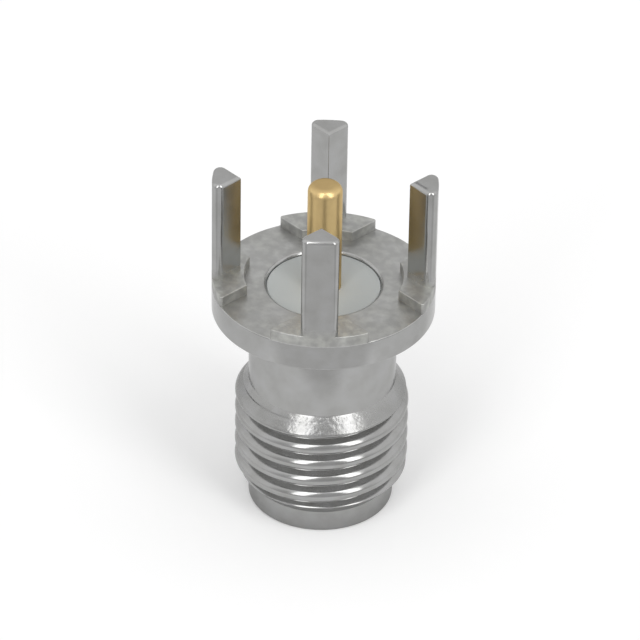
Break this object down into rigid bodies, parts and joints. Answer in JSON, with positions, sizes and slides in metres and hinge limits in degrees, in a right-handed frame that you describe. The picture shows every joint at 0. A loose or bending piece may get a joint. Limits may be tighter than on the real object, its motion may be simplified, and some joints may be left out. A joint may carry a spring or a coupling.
{
  "type": "vertical circuit-board coaxial jack",
  "caption": "Vertical threaded coaxial jack for a circuit board: turned metal body with a round flange, pads and legs, white insulator and gold centre contact.",
  "frame": {"origin": "centre of the mating end's face, the lowest plane of the part", "axes": "+Z along the connector's axis from the mating end to the board end; the four legs stand on the diagonals, so the square of board holes lines up with X and Y"},
  "size_m": [0.008, 0.008, 0.0135],
  "materials": {
    "plated_metal": "bright nickel plating on brass",
    "white_insulator": "smooth white fluoropolymer",
    "gold_contact": "bright gold plating"
  },
  "bodies": {
    "root": {"body": "plated_metal", "insulator": "white_insulator", "centre_contact": "gold_contact"}
  },
  "joints": []
}
